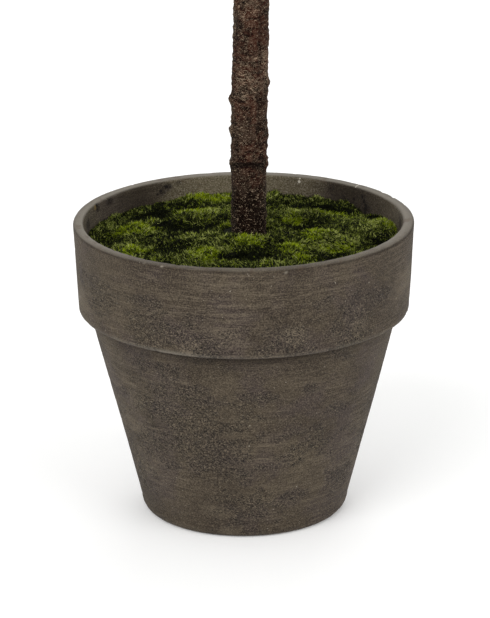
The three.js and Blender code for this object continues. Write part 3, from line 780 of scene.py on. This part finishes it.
def makeMossFibres(materials, hole):
    rng = np.random.default_rng(moss["seed"])
    count = moss["fibres"]
    angle = rng.uniform(0, turn, count)
    innermost = (moss["innermost"] / moss["radius"]) ** 2
    radius = moss["radius"] * np.sqrt(rng.uniform(innermost, moss["outermost"], count))
    x, y = radius * np.cos(angle), radius * np.sin(angle)
    clear = np.hypot(x - stem["x"], y) > hole
    x, y = x[clear], y[clear]
    count = len(x)
    z = mossSurface(x, y)[0]
    probe = moss["slopeStep"]
    slopeX = (mossSurface(x + probe, y)[0] - z) / probe
    slopeY = (mossSurface(x, y + probe)[0] - z) / probe
    normal = unit(np.stack([-slopeX, -slopeY, np.ones(count)], 1))
    flat = np.stack([x, y, np.zeros(count)], 1)
    combPlace = flat / moss["combSize"]
    comb = np.stack([smoothNoise(combPlace, 81), smoothNoise(combPlace, 82), np.zeros(count)], 1)
    scatter = rng.normal(0, moss["scatter"], (count, 3))
    heading = unit(normal * 0.9 + comb * moss["combed"] + scatter)
    heading[:, 2] = np.abs(heading[:, 2]) * 0.9 + 0.08
    heading = unit(heading)
    length = moss["length"] * rng.uniform(*moss["lengths"], count)
    across = unit(np.cross(heading, rng.normal(0, 1, (count, 3))))
    width = moss["width"] * rng.uniform(*moss["widths"], count)
    root = np.stack([x, y, z - moss["sunk"]], 1)
    bend = unit(comb + rng.normal(0, 0.4, (count, 3))) * (length * moss["bend"])[:, None]
    lushness = mossRidges(x, y, mossLush, 1, crisp=1.5) + 0.25 * layered(flat / (6 * mm), 2, 99)
    shade, strand = mossShade(x, y, flat, comb, lushness, rng)
    lush = lushness + rng.normal(0, moss["lushScatter"], count) > 0.5

    length *= 1 + 0.25 * softStep(0.8, 1.3, shade)
    half = across * (width / 2)[:, None]
    middle = root + heading * (length * 0.55)[:, None]
    tip = root + heading * length[:, None] + bend
    tip[:, 2] -= length * moss["droop"]
    blades = np.stack([root - half, root + half, middle - half * 0.8, middle + half * 0.8, tip], 1)
    reach = np.hypot(blades[:, :, 0], blades[:, :, 1]).max(1)
    nearStem = np.hypot(blades[:, :, 0] - stem["x"], blades[:, :, 1]).min(1)
    kept = (reach < moss["reach"]) & (nearStem > stem["footRadius"] + moss["clearOfStem"])

    tint = np.array(list(mossTints))[np.digitize(shade, mossTintBounds)]
    tint[lush & (tint == "Mid")] = "Leafy"
    tint[lush & ((tint == "Bright") | ((tint == "Pale") & (strand > 0)))] = "Fresh"
    for name, material in materials.items():
        copies("mossFibres" + name, blades[kept & (tint == name)],
               ((0, 1, 3), (0, 3, 2), (2, 3, 4)), material, smooth=False)


def mossMatMaterial():
    look = Finish("mossMatting", Specular_IOR_Level=0.1)
    place, lift = look.place(), look.painted("lift")
    fuzz = place.noise(900, 3, 0.6)
    # painted shade: the mat takes the dark soil colour in the hollows of its folds
    colour = mixed(lift.step(0.25, 0.7), moss["soil"], moss["mat"])
    colour = mixed(fuzz.step(0.55, 0.3) * 0.6, colour, moss["soil"])
    return look.finished(colour, 0.85 + fuzz * 0.1, fuzz, 1 * mm)


def plainMaterial(name, colour, roughness, shine=0.25):
    return Finish(name, Base_Color=colour, Roughness=roughness, Specular_IOR_Level=shine).material


mossHole = stem["footRadius"] + moss["holeGap"]
makeMossMat(mossMatMaterial(), mossHole)
makeMossFibres({tint: plainMaterial("mossFibres" + tint, colour, moss["roughness"], moss["shine"])
                for tint, colour in mossTints.items()}, mossHole)
print("moss finished")


# crown

crown = inMetres(
    radius=198.5, centre=np.array((3.6, 0, 800)), core=160, coreRelief=5, sunk=9, tipDepth=9,
    stalkRadius=1, leafLength=21, leafWidth=12.5, clipDepth=13, clearOfStem=3, midToneAt=180,
    toneDepth=9)
crown.update(seed=7, sprigs=2300, uneven=0.012, lean=0.34, shortest=0.8, swell=0.06, pairs=5,
             firstPair=0.34, lastPair=0.98, topPairSize=0.55, sizes=(0.85, 1.15), turnScatter=0.4,
             ownOpening=0.25, openings=(0.5, 1.3), curls=(0.4, 1.8), twist=0.55, toneOfDepth=0.9,
             toneOfPair=0.9, toneScatter=0.5, leafRoughness=0.42, twigRoughness=0.7,
             twigColour=srgb(78, 70, 40), coreColour=srgb(26, 38, 14), coreDark=srgb(14, 20, 8))
leafTints = {
    "leavesDeep": srgb(34, 62, 22), "leavesMid": srgb(48, 84, 28),
    "leavesFresh": srgb(70, 108, 36), "leavesPale": srgb(98, 134, 50),
}
leafTintBounds = (0.24, 0.52, 0.8)  # shares of all leaves, from the darkest on
# one leaf: across, along and up as shares of its width, length and length
leafPoints = np.array([
    (0, 0, 0), (0, 0.3, 0.035), (0, 0.66, 0.035), (0, 1.0, -0.05),
    (-0.33, 0.17, 0.0), (-0.5, 0.46, -0.02), (-0.4, 0.8, -0.06),
    (0.33, 0.17, 0.0), (0.5, 0.46, -0.02), (0.4, 0.8, -0.06)])
leafFaces = (
    (0, 1, 4), (4, 1, 5), (5, 1, 2), (5, 2, 6), (6, 2, 3),
    (0, 7, 1), (7, 8, 1), (8, 2, 1), (8, 9, 2), (9, 3, 2))


def spreadWays(count):  # directions spread evenly over a ball
    index = np.arange(count)
    z = 1 - 2 * (index + 0.5) / count
    ring = np.sqrt(1 - z * z)
    return np.stack([ring * np.cos(index * goldenAngle), ring * np.sin(index * goldenAngle), z], 1)


def turned(vectors, axes, angles):  # each vector turned about its own axis
    cosine, sine = np.cos(angles)[:, None], np.sin(angles)[:, None]
    along = np.sum(axes * vectors, 1)[:, None] * axes
    return vectors * cosine + np.cross(axes, vectors) * sine + along * (1 - cosine)


def clearOfStem(points):  # per leaf or stalk: inside the clipped ball and off the stem
    fromCentre = np.linalg.norm(points - crown["centre"], axis=2).max(1)
    fromStem = np.hypot(points[:, :, 0] - stem["x"], points[:, :, 1]).min(1)
    low = points[:, :, 2].min(1) < crown["centre"][2]
    isClear = (fromStem > stem["footRadius"] + crown["clearOfStem"]) | ~low
    return (fromCentre < crown["radius"]) & isClear


def growSprigs(rng):  # where each one stands, which way it grows and how dark it is
    count = crown["sprigs"]
    way = unit(spreadWays(count) + rng.normal(0, crown["uneven"], (count, 3)))
    stalkWay = unit(way + rng.uniform(-1, 1, (count, 3)) * crown["lean"])
    foot = crown["centre"] + way * (crown["core"] - crown["sunk"])
    reach = crown["radius"] - crown["tipDepth"] - crown["core"] + crown["sunk"]
    swell = layered(way * 4, 2, 3)[:, None] * crown["swell"]
    tip = foot + stalkWay * reach * (rng.uniform(crown["shortest"], 1.0, (count, 1)) + swell)
    level = np.where(np.abs(stalkWay[:, 2:]) < 0.9, (0, 0, 1), (1, 0, 0))
    side = unit(np.cross(stalkWay, level))
    side = turned(side, stalkWay, rng.uniform(0, math.pi, count))
    tone = rng.normal(0, 1, count) + 1.2 * layered(way * 5, 2, 33)
    return {"foot": foot, "tip": tip, "way": stalkWay, "side": side, "tone": tone}


def makeTwigs(sprigs, material):  # three-sided and tapering; says which sprigs are clear of the stem
    ring = []
    for third in range(3):
        spoke = turned(sprigs["side"], sprigs["way"], np.full(crown["sprigs"], third * turn / 3))
        ring.append(sprigs["foot"] + spoke * crown["stalkRadius"])
        ring.append(sprigs["tip"] + spoke * crown["stalkRadius"] * 0.5)
    stalks = np.stack(ring, 1)
    isClear = clearOfStem(stalks)
    copies("crownTwigs", stalks[isClear], ((0, 2, 3, 1), (2, 4, 5, 3), (4, 0, 1, 5)), material)
    return isClear


def openedLeaves(sprigs, at, out, size, rng):  # one leaf on each sprig, opened to the clipped surface
    count, way = crown["sprigs"], sprigs["way"]
    length, width = crown["leafLength"] * size, crown["leafWidth"] * size
    tipAt = crown["radius"] - crown["clipDepth"] * (0.1 + 0.9 * rng.uniform(0, 1, count))
    away = np.linalg.norm(at - crown["centre"], axis=1)
    cosine = (tipAt ** 2 - away ** 2 - length ** 2) / (2 * away * length)
    opening = np.arccos(np.clip(cosine, -0.25, 0.88))
    own = crown["ownOpening"]
    opening = opening * (1 - own) + own * rng.uniform(*crown["openings"], count)
    heading = unit(way * np.cos(opening)[:, None] + out * np.sin(opening)[:, None])
    across = unit(np.cross(heading, way))
    across = turned(across, heading, rng.uniform(-1, 1, count) * crown["twist"])
    up = np.cross(across, heading)
    curl = rng.uniform(*crown["curls"], count)
    shape = (across[:, None] * (leafPoints[:, 0] * width[:, None])[:, :, None]
             + heading[:, None] * (leafPoints[:, 1] * length[:, None])[:, :, None]
             + up[:, None] * (leafPoints[:, 2] * (length * curl)[:, None])[:, :, None])
    return at[:, None] + shape


def makeLeaves(sprigs, isClear, materials, rng):  # opposite pairs that turn a quarter at each step
    count, leaves, tones = crown["sprigs"], [], []
    for pair in range(crown["pairs"]):
        share = pair / (crown["pairs"] - 1)
        along = crown["firstPair"] + (crown["lastPair"] - crown["firstPair"]) * share
        at = sprigs["foot"] + (sprigs["tip"] - sprigs["foot"]) * along
        for half in (0, math.pi):
            size = (1 + (crown["topPairSize"] - 1) * share) * rng.uniform(*crown["sizes"], count)
            around = pair * math.pi / 2 + half + rng.uniform(-1, 1, count) * crown["turnScatter"]
            leaf = openedLeaves(sprigs, at, turned(sprigs["side"], sprigs["way"], around), size, rng)
            away = np.linalg.norm(leaf.mean(1) - crown["centre"], axis=1)
            # painted shade: leaves lying deeper in the ball get darker tints
            depth = (away - crown["midToneAt"]) / crown["toneDepth"]
            tone = sprigs["tone"] + crown["toneOfDepth"] * depth + crown["toneOfPair"] * share
            tone += rng.normal(0, crown["toneScatter"], count)
            kept = clearOfStem(leaf) & isClear
            leaves.append(leaf[kept])
            tones.append(tone[kept])
    leaves, tones = np.concatenate(leaves), np.concatenate(tones)
    group = np.digitize(tones, np.quantile(tones, leafTintBounds))
    for index, (name, material) in enumerate(materials.items()):
        copies(name, leaves[group == index], leafFaces, material)


def makeCore(material):
    core = bpy.data.meshes.new("coreBall")
    ball = bmesh.new()
    bmesh.ops.create_icosphere(ball, subdivisions=6, radius=1)
    ball.to_mesh(core)
    ball.free()
    points = np.zeros(len(core.vertices) * 3)
    core.vertices.foreach_get("co", points)
    points = points.reshape(-1, 3)
    faces = np.zeros(len(core.polygons) * 3, np.int32)
    core.polygons.foreach_get("vertices", faces)
    bpy.data.meshes.remove(core)
    relief = layered(points * 17, 3, 51) * crown["coreRelief"]
    ballPoints = points * (crown["core"] + relief)[:, None] + crown["centre"]
    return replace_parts(piece("crownCore", ballPoints, faces.reshape(-1, 3), material), "crown")


def coreMaterial():
    look = Finish("shadedInside", Specular_IOR_Level=0.15)
    place = look.place()
    tangle = place.noise(140, 4, 0.65)
    colour = mixed(tangle.step(0.42, 0.62), crown["coreDark"], crown["coreColour"])
    return look.finished(colour, 0.8 + tangle * 0.15, tangle, 4 * mm)


def makeCrown():
    rng = np.random.default_rng(crown["seed"])
    leafMaterials = {name: plainMaterial(name, colour, crown["leafRoughness"])
                     for name, colour in leafTints.items()}
    sprigs = growSprigs(rng)
    isClear = makeTwigs(sprigs, plainMaterial("twigs", crown["twigColour"], crown["twigRoughness"]))
    makeLeaves(sprigs, isClear, leafMaterials, rng)
    makeCore(coreMaterial())


makeCrown()
print("crown finished")


# floor, light and camera

stage = {
    "floorSize": 30, "floorColour": (0.93, 0.93, 0.925, 1), "floorGlow": 0.1, "skyLight": 0.74,
    "keyPower": 58, "keyPlace": (-1.5, -2.4, 2.3), "keySize": 2.2,
    "fillPower": 36, "fillPlace": (2.3, -1.9, 1.6), "fillSize": 2.4,
    "backPower": 22, "backPlace": (0.4, 2.4, 2.2), "backSize": 2.0, "lampsAimAt": (0, 0, 0.25),
}
view = {
    "place": (0, -1979.25 * mm, 798.89 * mm), "target": (0, 0, 99 * mm), "focalPixels": 3207.86,
    "frame": (490, 618), "targetPixel": (244.305, 358.498), "roll": -0.4259, "sensor": 36,
}


def makeFloor():
    half = stage["floorSize"] / 2
    mesh = bpy.data.meshes.new("paleFloor")
    corners = [(-half, -half, 0), (half, -half, 0), (half, half, 0), (-half, half, 0)]
    mesh.from_pydata(corners, [], [(0, 1, 2, 3)])
    floor = bpy.data.objects.new("paleFloor", mesh)
    bpy.context.scene.collection.objects.link(floor)
    paper = Finish("palePaper", Base_Color=stage["floorColour"], Roughness=0.9,
                   Emission_Color=(1, 1, 1, 1), Emission_Strength=stage["floorGlow"])
    floor.data.materials.append(paper.material)


def makeLamp(name):
    lamp = bpy.data.lights.new(name + "Softbox", "AREA")
    lamp.energy, lamp.size = stage[name + "Power"], stage[name + "Size"]
    holder = bpy.data.objects.new(name + "Softbox", lamp)
    holder.location = stage[name + "Place"]
    aim = Vector(stage["lampsAimAt"]) - Vector(stage[name + "Place"])
    holder.rotation_euler = aim.to_track_quat("-Z", "Y").to_euler()
    bpy.context.scene.collection.objects.link(holder)


def makeSky():  # white behind everything, dimmer as a light
    world = bpy.data.worlds.new("studioWhite")
    bpy.context.scene.world = world
    world.use_nodes = True
    background = world.node_tree.nodes["Background"]
    background.inputs["Color"].default_value = (1, 1, 1, 1)
    seen = Wire(world.node_tree, world.node_tree.nodes.new("ShaderNodeLightPath").outputs["Is Camera Ray"])
    strength = seen * (1.0 - stage["skyLight"]) + stage["skyLight"]
    world.node_tree.links.new(strength.socket, background.inputs["Strength"])


def makeCamera():
    camera = bpy.data.cameras.new("photoView")
    camera.sensor_width = view["sensor"]
    camera.lens = view["focalPixels"] * view["sensor"] / max(view["frame"])
    place, target = Vector(view["place"]), Vector(view["target"])
    forward = (target - place).normalized()
    right = forward.cross(Vector((0, 0, 1))).normalized()
    up = right.cross(forward)
    roll = math.radians(view["roll"])
    right, up = right * math.cos(roll) + up * math.sin(roll), up * math.cos(roll) - right * math.sin(roll)
    # the target sits off the frame's middle, so the camera aims that much past it
    dx = (view["frame"][0] / 2 - view["targetPixel"][0]) / view["focalPixels"]
    dy = (view["targetPixel"][1] - view["frame"][1] / 2) / view["focalPixels"]
    forward = (forward + right * dx + up * dy).normalized()
    right = (right - forward * right.dot(forward)).normalized()
    up = right.cross(forward)
    holder = bpy.data.objects.new("photoView", camera)
    turnTo = Matrix((right, up, -forward)).transposed().to_4x4()
    holder.matrix_world = Matrix.Translation(place) @ turnTo
    bpy.context.scene.collection.objects.link(holder)
    bpy.context.scene.camera = holder


makeFloor()
makeSky()
for lampName in ("key", "fill", "back"):
    makeLamp(lampName)
makeCamera()
bpy.context.scene.view_settings.view_transform = "Standard"
print("stage finished")
